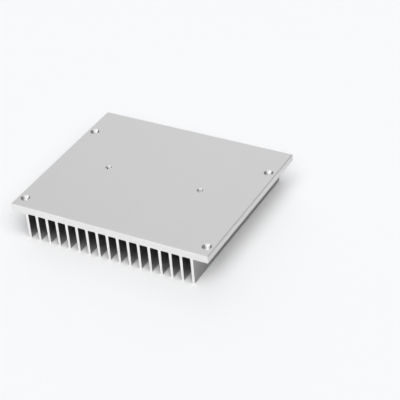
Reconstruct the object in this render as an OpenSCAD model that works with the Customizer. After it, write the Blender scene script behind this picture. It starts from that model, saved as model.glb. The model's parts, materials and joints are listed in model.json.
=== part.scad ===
// Extruded aluminium heat sink: a flat mounting plate with straight, tapered cooling fins on its underside.
// It is one bar of constant section, sawn to length, then drilled and countersunk from the plate's face.
// It stands on its fin tips. X runs across the fins, Y along the extrusion and Z up from the fin tips.

/* [Plate] */
// Length of the bar, along the extrusion
plate_length = 125; // [100:1:200]
// Thickness of the plate
plate_thickness = 5.3; // [4:0.1:8]
// Width of the bare flange beside each outer fin
flange_width = 11; // [9:0.5:20]
// Radius of the plate's long edges
plate_edge_radius = 0.6; // [0.2:0.1:1.2]
// Chamfer on the edge between the plate's face and each sawn end
end_chamfer = 0.25; // [0.1:0.05:0.8]

/* [Fins] */
// Number of fins
fin_count = 17; // [9:1:25]
// Distance between the centres of neighbouring fins
fin_pitch = 7.875; // [7:0.125:12]
// Height of the fins, from tip to plate
fin_height = 19.7; // [10:0.1:40]
// Thickness of a fin where it meets the plate
fin_thickness = 2; // [1.6:0.1:2.6]
// How far each side of a fin leans in between the plate and the tip
fin_taper = 0.15; // [0:0.05:0.3]
// Radius of the fillets between fins and plate
root_fillet = 0.6; // [0.3:0.1:1]
// Radius of the edges along a fin's tip
tip_radius = 0.4; // [0.2:0.05:0.6]

/* [Corner holes] */
// Diameter of the four screw holes in the flanges
corner_hole_d = 3.4; // [2.4:0.1:4.5]
// Diameter of their countersinks at the plate's face
countersink_d = 6.5; // [5:0.1:8]
// Distance of the front row of holes from the front end
front_row_setback = 9.25; // [6:0.25:25]
// Distance of the back row of holes from the back end
back_row_setback = 26.5; // [6:0.25:35]

/* [Inner holes] */
// Diameter of the two inner holes, as drilled for tapping
inner_hole_d = 3.3; // [2.5:0.1:4]
// Diameter of their chamfered mouths at the plate's face
inner_mouth_d = 4.4; // [4.1:0.1:5.5]
// The air channel that each inner hole opens into, counted inwards from the outer fin
inner_hole_channel = 4; // [1:1:7]
// How far each inner hole sits outwards from the middle of its channel
inner_hole_shift = 0.5; // [0:0.1:0.8]

/* [Hidden] */

// Full angle of the countersinks and of the chamfered mouths
mouth_angle = 90;
// Length by which a cutting tool passes each face that it breaks through
overcut = 1;
// Sides of a full circle: the hole walls, and the small radii of the section
hole_fn = 64;
section_fn = 48;

total_height = fin_height + plate_thickness;
fin_field = (fin_count - 1) * fin_pitch;
plate_width = fin_field + fin_thickness + 2 * flange_width;

// The angle that a fin's sides lean from upright
lean = atan(fin_taper / fin_height);

// The screw holes lie midway across each flange
corner_x = plate_width / 2 - flange_width / 2;
front_row_y = -plate_length / 2 + front_row_setback;
back_row_y = plate_length / 2 - back_row_setback;
inner_x = fin_field / 2 - (inner_hole_channel - 0.5) * fin_pitch + inner_hole_shift;

// The sliver between a corner at the origin and the arc that rounds it.
// One side of the corner runs along +x, and the other at the opening angle from it.
// The sliver also spills past both sides, away from the arc.
module corner_sliver(radius, opening, spill) {
    along = 1 / tan(opening / 2);
    outwards = opening + 90;
    arc_centre = [radius * along, radius];
    difference() {
        polygon([
            arc_centre,
            [radius * along, -spill],
            [-spill * along, -spill],
            arc_centre + (radius + spill) * [cos(outwards), sin(outwards)]
        ]);
        translate(arc_centre) circle(r = radius, $fn = section_fn);
    }
}

// The plate in section, with its middle at x = 0: a slab with rounded long edges
module plate_section() {
    translate([0, fin_height + plate_thickness / 2])
        difference() {
            square([plate_width, plate_thickness], center = true);
            for (across = [0, 1])
                for (over = [0, 1])
                    mirror([across, 0]) mirror([0, over])
                        translate([-plate_width / 2, -plate_thickness / 2])
                            corner_sliver(plate_edge_radius, 90, overcut);
        }
}

// One fin in section: a web that thins towards its tip, with rounded tip edges.
// Its root is let into the plate, so that the two become one body.
module fin_section() {
    half_root = fin_thickness / 2;
    half_tip = half_root - fin_taper;
    let_in = fin_height + plate_thickness / 2;
    difference() {
        polygon([
            [-half_tip, 0], [half_tip, 0],
            [half_root, fin_height], [half_root, let_in],
            [-half_root, let_in], [-half_root, fin_height]
        ]);
        for (across = [0, 1])
            mirror([across, 0])
                translate([-half_tip, 0]) corner_sliver(tip_radius, 90 + lean, overcut);
    }
}

// The fillet between the right side of a fin and the plate, let into both
module fillet_section() {
    translate([fin_thickness / 2, fin_height])
        mirror([0, 1]) corner_sliver(root_fillet, 90 + lean, fin_thickness / 4);
}

// Carries a section along the whole bar
module extruded() {
    rotate([90, 0, 0])
        linear_extrude(height = plate_length, center = true) children();
}

// The undrilled bar, with the fins evenly spaced about the middle
module bar() {
    extruded() plate_section();
    for (i = [0 : fin_count - 1])
        translate([i * fin_pitch - fin_field / 2, 0, 0]) {
            extruded() fin_section();
            for (across = [0, 1])
                mirror([across, 0, 0]) extruded() fillet_section();
        }
}

// A hole through the plate with a conical mouth at the plate's face
module plate_hole(hole_d, mouth_d) {
    slope = tan(mouth_angle / 2);
    mouth_depth = (mouth_d - hole_d) / 2 / slope;
    translate([0, 0, fin_height - overcut])
        cylinder(d = hole_d, h = plate_thickness + 2 * overcut, $fn = hole_fn);
    translate([0, 0, total_height - mouth_depth])
        cylinder(d1 = hole_d, d2 = mouth_d + 2 * overcut * slope, h = mouth_depth + overcut, $fn = hole_fn);
}

// The wedge that breaks the edge between the plate's face and the sawn end at y = plate_length / 2
module end_edge_cut() {
    reach = end_chamfer + overcut;
    translate([-plate_width / 2 - overcut, plate_length / 2, total_height])
        rotate([90, 0, 90])
            linear_extrude(height = plate_width + 2 * overcut)
                polygon([[-reach, overcut], [overcut, -reach], [overcut, overcut]]);
}

module heat_sink() {
    color([0.8, 0.8, 0.79])
        difference() {
            bar();
            for (x = [-corner_x, corner_x])
                for (y = [front_row_y, back_row_y])
                    translate([x, y, 0]) plate_hole(corner_hole_d, countersink_d);
            for (x = [-inner_x, inner_x])
                translate([x, 0, 0]) plate_hole(inner_hole_d, inner_mouth_d);
            end_edge_cut();
            mirror([0, 1, 0]) end_edge_cut();
        }
}

heat_sink();
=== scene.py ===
import json
import math
from types import SimpleNamespace

import bpy
from mathutils import Matrix, Vector


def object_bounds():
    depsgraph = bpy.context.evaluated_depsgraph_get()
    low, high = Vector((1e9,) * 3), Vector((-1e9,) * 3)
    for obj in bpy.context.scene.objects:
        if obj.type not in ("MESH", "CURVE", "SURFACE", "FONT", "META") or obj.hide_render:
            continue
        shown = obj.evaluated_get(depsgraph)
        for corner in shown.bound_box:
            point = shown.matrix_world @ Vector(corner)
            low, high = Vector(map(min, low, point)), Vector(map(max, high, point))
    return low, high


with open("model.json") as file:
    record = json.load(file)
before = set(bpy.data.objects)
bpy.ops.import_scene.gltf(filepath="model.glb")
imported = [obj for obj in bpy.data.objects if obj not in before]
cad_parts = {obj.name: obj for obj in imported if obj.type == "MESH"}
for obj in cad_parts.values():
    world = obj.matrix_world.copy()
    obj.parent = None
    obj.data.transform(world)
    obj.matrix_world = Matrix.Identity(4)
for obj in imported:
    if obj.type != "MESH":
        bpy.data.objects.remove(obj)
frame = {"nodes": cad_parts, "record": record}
CAD_LOW, CAD_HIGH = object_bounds()
MOUNTS = {mount["name"]: mount for mount in frame["record"]["mounts"]}

MM = 0.001
PLATE_TOP = CAD_HIGH.z
# The screw holes' mounts lie midway through the plate
PLATE_UNDERSIDE = MOUNTS["corner_screws"]["pos_m"][2] * 2 - PLATE_TOP
COUNTERSINK_RADIUS = 3.25 * MM
INNER_MOUTH_RADIUS = 2.2 * MM

# The camera, in metres and degrees. It turns about the middle of the plate's face.
AZIMUTH, ELEVATION, ROLL = 31.11, 35.21, -4.97
DISTANCE = 0.92717
AIM_RIGHT, AIM_DOWN = 0.031612, 0.01456
LENS, SENSOR_WIDTH = 122.63, 36.0

# Each finish: reflectance as a linear grey, roughness, metallic
FINISHES = {
    "skin": (0.69, 0.44, 1.0),
    # The fins' faces are the same extruded skin as the plate, set darker as painted shade for the deep
    # gaps between the fins
    "channel": (0.36, 0.40, 1.0),
    "sawn_plate": (0.90, 0.62, 0.35),
    "sawn_fin": (0.97, 0.62, 0.35),
    # The countersinks are machined like the bores, but their grey is set darker as painted shade in the
    # hole mouths
    "cone": (0.42, 0.50, 1.0),
    "bore": (0.90, 0.28, 1.0),
}
# The columns of that table
LEVEL, ROUGHNESS, METALLIC = range(3)
# How far the metal's grey leans from blue to red
WARMTH = 0.012

# Tool marks. The saw's arcs are centred well below the bar, and waver a little.
SAW_CENTRE_Z = -160 * MM
SAW_MARK_SPACING, SAW_WAVER = 0.9 * MM, 0.25 * MM
TURN_SPACING = 0.7 * MM
RELIEF_DEPTH, RELIEF_STRENGTH = 0.02 * MM, 0.35

# The set: pale paper, a broad key lamp above the camera, and a pale backdrop behind in a dim cool room
PAPER = 0.90
FLOOR_HALF_WIDTH = 6.0
FLOOR_GAP = 0.05 * MM
KEY_AZIMUTH, KEY_ELEVATION, KEY_WIDTH = 35, 58, 68
KEY_STRENGTH = 2.77
BACKDROP_AZIMUTH, BACKDROP_ELEVATION, BACKDROP_SPREAD = 207, 30, 32
BACKDROP, ROOM = 1.0, 0.12
WHITE = (1, 1, 1, 1)
ROOM_COLOUR = (0.92, 0.98, 1.10, 1)


class Shade:
    """An output socket of a node. Arithmetic on it adds Math nodes, so shader maths reads as Python."""

    def __init__(self, tree, socket=None):
        self.tree = tree
        self.socket = socket

    def node(self, kind, settings=None, inputs=None, output=0):
        """Adds a node: its settings are set first, then its sockets are given their values or links."""
        new = self.tree.nodes.new(kind)
        for name, value in (settings or {}).items():
            setattr(new, name, value)
        for key, value in (inputs or {}).items():
            if isinstance(value, Shade):
                self.tree.links.new(value.socket, new.inputs[key])
            else:
                new.inputs[key].default_value = value
        return Shade(self.tree, new.outputs[output] if new.outputs else None)

    def maths(self, operation, *values):
        return self.node("ShaderNodeMath", {"operation": operation}, dict(enumerate(values)))

    def __add__(self, other):
        return self.maths("ADD", self, other)

    def __sub__(self, other):
        return self.maths("SUBTRACT", self, other)

    def __rsub__(self, other):
        return self.maths("SUBTRACT", other, self)

    def __mul__(self, other):
        return self.maths("MULTIPLY", self, other)

    def __truediv__(self, other):
        return self.maths("DIVIDE", self, other)

    def __abs__(self):
        return self.maths("ABSOLUTE", self)

    __radd__ = __add__
    __rmul__ = __mul__

    def root(self):
        return self.maths("SQRT", self)

    def ripple(self, spacing):
        """A wave from 0 to 1 and back that repeats at each spacing."""
        return self.maths("SINE", self * (2 * math.pi / spacing)) * 0.5 + 0.5

    def past(self, edge, blur):
        """0 before the edge and 1 beyond it, with a smooth ramp that is a blur wide on either side."""
        ends = {"Value": self, "From Min": edge - blur, "From Max": edge + blur}
        return self.node("ShaderNodeMapRange", {"interpolation_type": "SMOOTHSTEP"}, ends)

    def parts(self):
        """The X, Y and Z of a vector."""
        axes = self.node("ShaderNodeSeparateXYZ", inputs={0: self})
        return [Shade(self.tree, socket) for socket in axes.socket.node.outputs]

    def noise(self, scale, stretch=(1, 1, 1), detail=2.0, roughness=0.5):
        """Noise at this place, with grains 1 / scale long on each axis, times that axis's stretch."""
        scales = tuple(scale / length for length in stretch)
        spread = self.node("ShaderNodeMapping", inputs={"Vector": self, "Scale": scales})
        grain = {"Vector": spread, "Scale": 1.0, "Detail": detail, "Roughness": roughness}
        return self.node("ShaderNodeTexNoise", inputs=grain)

    def mix(self, low, high):
        """The colour low where this value is 0, and high where it is 1."""
        return self.node("ShaderNodeMix", {"data_type": "RGBA"}, {0: self, 6: low, 7: high}, output=2)


def grey(level, warmth=0.0):
    """A grey colour, a little warmer with more red and less blue."""
    return (level * (1 + warmth), level, level * (1 - warmth), 1)


def direction(azimuth, elevation):
    """A unit vector from the part: azimuth 0 points along -Y, and positive azimuths turn towards +X."""
    turn, rise = math.radians(azimuth), math.radians(elevation)
    return Vector((math.sin(turn) * math.cos(rise), -math.cos(turn) * math.cos(rise), math.sin(rise)))


def hole_distance(x, y, pattern):
    """Distance from the nearest axis of a pattern of holes that mirrors about its own middle."""
    middle_x, middle_y, _ = MOUNTS[pattern]["pos_m"]
    dims = MOUNTS[pattern]["dims"]
    across = abs(x - middle_x) - dims.get("spacing_x_mm", 0) * MM / 2
    along = abs(y - middle_y) - dims.get("spacing_y_mm", 0) * MM / 2
    return (across * across + along * along).root()


def zones(place, facing):
    """Where each kind of surface lies: 1 inside it and 0 outside.

    A surface is told by where it lies and by the way it faces. The part of its normal along an axis is 1
    or -1 if it faces along that axis, about 0.7 on a chamfer or a countersink, and 0 if it lies along it.
    """
    x, y, z = place.parts()
    _, along, up = facing.parts()
    corner = hole_distance(x, y, "corner_screws").past(COUNTERSINK_RADIUS, 0.05 * MM)
    inner = hole_distance(x, y, "inner_screws").past(INNER_MOUTH_RADIUS, 0.05 * MM)
    machined = (1 - corner) + (1 - inner)
    tilted = abs(up).past(0.35, 0.05)
    level = abs(up).past(0.97, 0.02)
    sawn = abs(along).past(0.66, 0.06)
    cone = machined * tilted * (1 - level)
    bore = machined * (1 - tilted)
    plate = z.past(PLATE_UNDERSIDE, 0.3 * MM)
    rolled = (1 - sawn) * (1 - cone) * (1 - bore)
    return SimpleNamespace(machined=machined, sawn=sawn, cone=cone, bore=bore, plate=plate, rolled=rolled)


def by_finish(zone, column):
    """One column of FINISHES over the whole surface, laid where each finish lies."""
    value = {name: finish[column] for name, finish in FINISHES.items()}
    fins = 1 - zone.plate
    # The fins' darker grey is painted shade for the gaps between them
    return (zone.rolled * (zone.plate * value["skin"] + fins * value["channel"])
            + zone.sawn * (zone.plate * value["sawn_plate"] + fins * value["sawn_fin"])
            # The countersinks' darker grey is painted shade
            + zone.cone * value["cone"]
            + zone.bore * value["bore"])


def aluminium():
    """Satin extruded aluminium with bright sawn ends and machined holes."""
    material = bpy.data.materials.new("aluminium")
    material.use_nodes = True
    tree = material.node_tree
    tree.nodes.clear()
    new = Shade(tree)
    place = new.node("ShaderNodeTexCoord", output=3)
    facing = new.node("ShaderNodeTexCoord", output=1)
    zone = zones(place, facing)
    x, _, z = place.parts()

    # Die lines run the length of the bar, and the grain is as fine as the etched skin
    die_lines = place.noise(2200, (1, 150, 1), detail=3.0)
    broad_lines = place.noise(180, (1, 60, 1), detail=1.0)
    grain = place.noise(5200, detail=2.0, roughness=0.7)
    clouds = place.noise(28, (1, 2.2, 1), detail=2.0)

    # The saw leaves shallow arcs on the ends, and the drill leaves fine turns down the hole walls
    below = z - SAW_CENTRE_Z
    saw_marks = ((x * x + below * below).root() + SAW_WAVER * clouds).ripple(SAW_MARK_SPACING)
    turns = z.ripple(TURN_SPACING)

    streaks = 0.10 * (1 - zone.sawn) * (die_lines * 0.55 + broad_lines * 0.45 - 0.5)
    marks = 0.06 * zone.sawn * (saw_marks * 0.35 + grain * 0.5 - 0.4)
    level = by_finish(zone, LEVEL) * (1 + streaks + marks)
    uneven = (0.08 * (broad_lines - 0.5) + 0.06 * (grain - 0.5)) * zone.rolled
    height = (die_lines * (1 - zone.sawn) * (1 - zone.machined) * 0.5
              + grain * 0.25
              + saw_marks * zone.sawn * 0.6
              + turns * zone.bore * 1.2)
    relief = {"Strength": RELIEF_STRENGTH, "Distance": RELIEF_DEPTH, "Height": height}

    finish = {
        "Base Color": level.mix(grey(0.0), grey(1.0, WARMTH)),
        "Roughness": by_finish(zone, ROUGHNESS) + uneven,
        "Metallic": by_finish(zone, METALLIC),
        "Normal": new.node("ShaderNodeBump", inputs=relief),
    }
    surface = new.node("ShaderNodeBsdfPrincipled", inputs=finish)
    new.node("ShaderNodeOutputMaterial", inputs={"Surface": surface})
    return material


def paper():
    """The pale matt paper that the part stands on."""
    material = bpy.data.materials.new("paper")
    material.use_nodes = True
    surface = material.node_tree.nodes["Principled BSDF"]
    surface.inputs["Base Color"].default_value = grey(PAPER)
    surface.inputs["Roughness"].default_value = 1.0
    surface.inputs["Specular IOR Level"].default_value = 0.0
    return material


def floor():
    """A wide flat sheet under the fin tips."""
    half = FLOOR_HALF_WIDTH
    mesh = bpy.data.meshes.new("floor")
    corners = [(-half, -half, 0), (half, -half, 0), (half, half, 0), (-half, half, 0)]
    mesh.from_pydata(corners, [], [(0, 1, 2, 3)])
    mesh.materials.append(paper())
    sheet = bpy.data.objects.new("floor", mesh)
    sheet.location.z = CAD_LOW.z - FLOOR_GAP
    bpy.context.collection.objects.link(sheet)


def sky():
    """A dim even room, with a backdrop behind the part whose glow halves at its spread from the middle."""
    world = bpy.data.worlds.new("sky")
    bpy.context.scene.world = world
    world.use_nodes = True
    tree = world.node_tree
    tree.nodes.clear()
    new = Shade(tree)
    outwards = new.node("ShaderNodeTexCoord")
    pair = {0: outwards, 1: tuple(direction(BACKDROP_AZIMUTH, BACKDROP_ELEVATION))}
    cosine = new.node("ShaderNodeVectorMath", {"operation": "DOT_PRODUCT"}, pair, output=1)
    halvings = (1 - cosine) / (1 - math.cos(math.radians(BACKDROP_SPREAD)))
    glow = BACKDROP * new.maths("POWER", 0.5, halvings)
    backdrop = new.node("ShaderNodeBackground", inputs={"Color": WHITE, "Strength": glow})
    room = new.node("ShaderNodeBackground", inputs={"Color": ROOM_COLOUR, "Strength": ROOM})
    light = new.node("ShaderNodeAddShader", inputs={0: backdrop, 1: room})
    new.node("ShaderNodeOutputWorld", inputs={"Surface": light})


def key_lamp():
    """A broad soft key lamp above the camera."""
    lamp = bpy.data.lights.new("key", "SUN")
    lamp.energy = KEY_STRENGTH
    lamp.angle = math.radians(KEY_WIDTH)
    key = bpy.data.objects.new("key", lamp)
    key.rotation_euler = direction(KEY_AZIMUTH, KEY_ELEVATION).to_track_quat("Z", "Y").to_euler()
    bpy.context.collection.objects.link(key)


def camera():
    """Looks down on the part from its front right, with the part left of the middle."""
    back = direction(AZIMUTH, ELEVATION)
    level = Vector((0, 0, 1)).cross(back).normalized()
    upright = back.cross(level)
    roll = math.radians(ROLL)
    right = math.cos(roll) * level + math.sin(roll) * upright
    above = math.cos(roll) * upright - math.sin(roll) * level
    face = Vector((0, 0, PLATE_TOP))

    lens = bpy.data.cameras.new("camera")
    lens.lens = LENS
    lens.sensor_width = SENSOR_WIDTH
    lens.clip_start, lens.clip_end = 0.01, 50.0
    viewer = bpy.data.objects.new("camera", lens)
    turned = Matrix((right, above, back)).transposed().to_4x4()
    seat = face + AIM_RIGHT * right - AIM_DOWN * above + DISTANCE * back
    viewer.matrix_world = Matrix.Translation(seat) @ turned
    bpy.context.collection.objects.link(viewer)
    bpy.context.scene.camera = viewer


def dress_heat_sink():
    """Gives the heat sink its finish, in the slots that it came with."""
    part = frame["nodes"]["heat_sink"]
    finish = aluminium()
    for slot in part.material_slots:
        slot.material = finish


camera()
dress_heat_sink()
floor()
sky()
key_lamp()
bpy.context.scene.view_settings.view_transform = "Standard"
